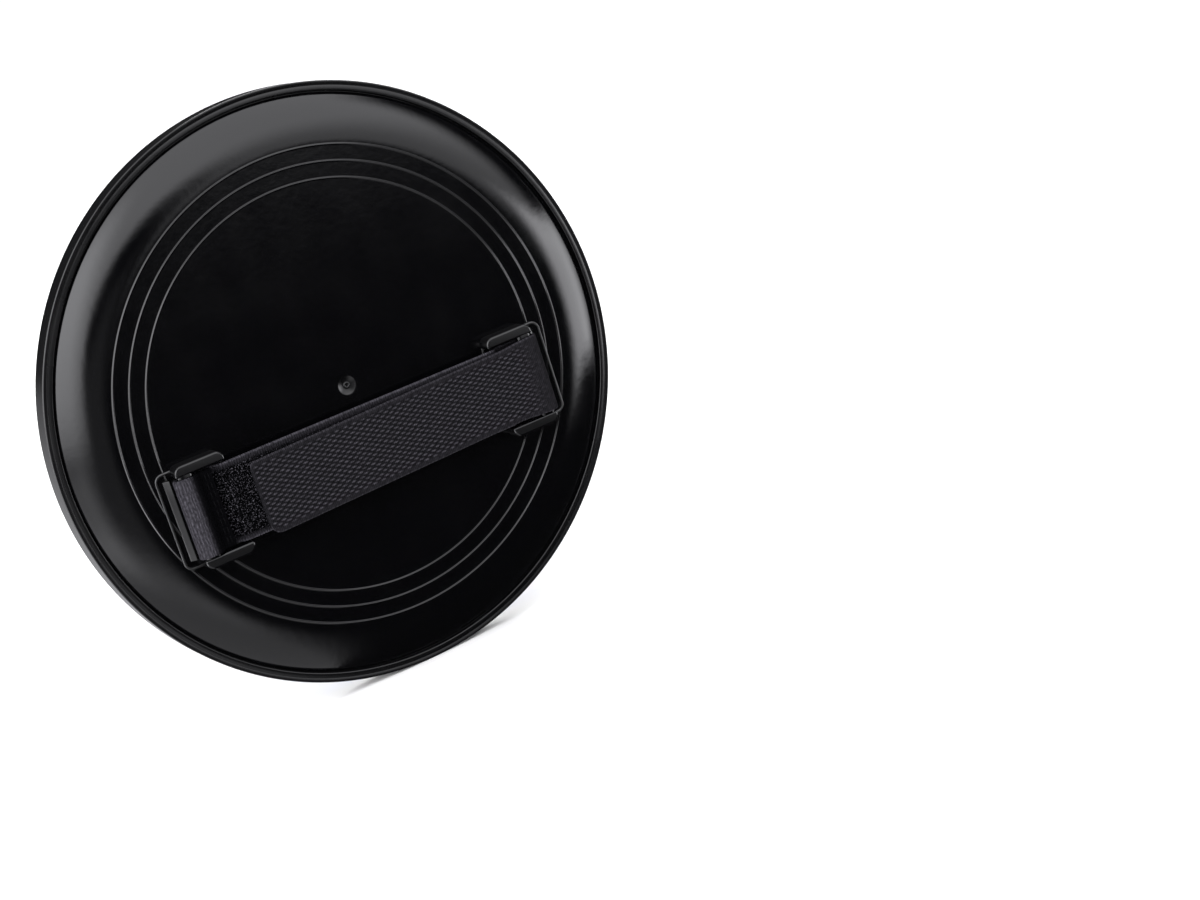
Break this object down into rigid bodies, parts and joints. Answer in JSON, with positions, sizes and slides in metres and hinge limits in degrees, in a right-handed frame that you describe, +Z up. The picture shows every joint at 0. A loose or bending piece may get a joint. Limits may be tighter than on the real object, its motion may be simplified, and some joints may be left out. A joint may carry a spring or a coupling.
{
  "type": "catch paddle",
  "caption": "Round catch paddle: a shallow moulded dish with orange and blue hook panels in front and a hook and loop hand strap behind.",
  "frame": {"origin": "centre of the flat back of the dish, on the disc's axis, where the hand lies", "axes": "+Y out of the back, on the strap side; -Y out of the catching face; +Z up; the strap runs along X"},
  "size_m": [0.192, 0.0223, 0.192],
  "materials": {
    "moulded_black": "glossy moulded",
    "adhesive_film": "black acrylic adhesive film",
    "orange_hook_tape": "woven nylon hooks",
    "blue_hook_tape": "woven nylon hooks",
    "blue_thread": "polyester thread",
    "black_loop_tape": "brushed nylon loop",
    "black_thread": "polyester thread",
    "black_hook_tape": "woven nylon back of hook tape"
  },
  "bodies": {
    "paddle": {"shell": "moulded_black", "film_upper": "adhesive_film", "film_lower": "adhesive_film", "panel_upper": "orange_hook_tape", "panel_lower": "blue_hook_tape", "seam_stitches": "blue_thread", "loop_strap": "black_loop_tape", "strap_stitches": "black_thread"},
    "tab": {"hook_tab": "black_hook_tape"}
  },
  "joints": [
    {"name": "tab_peel", "type": "hinge", "parent": "paddle", "child": "tab", "pos_m": [-0.054, 0.00745, -0.0195], "axis": [0, 0, 1], "range_deg": [0, 150]}
  ]
}
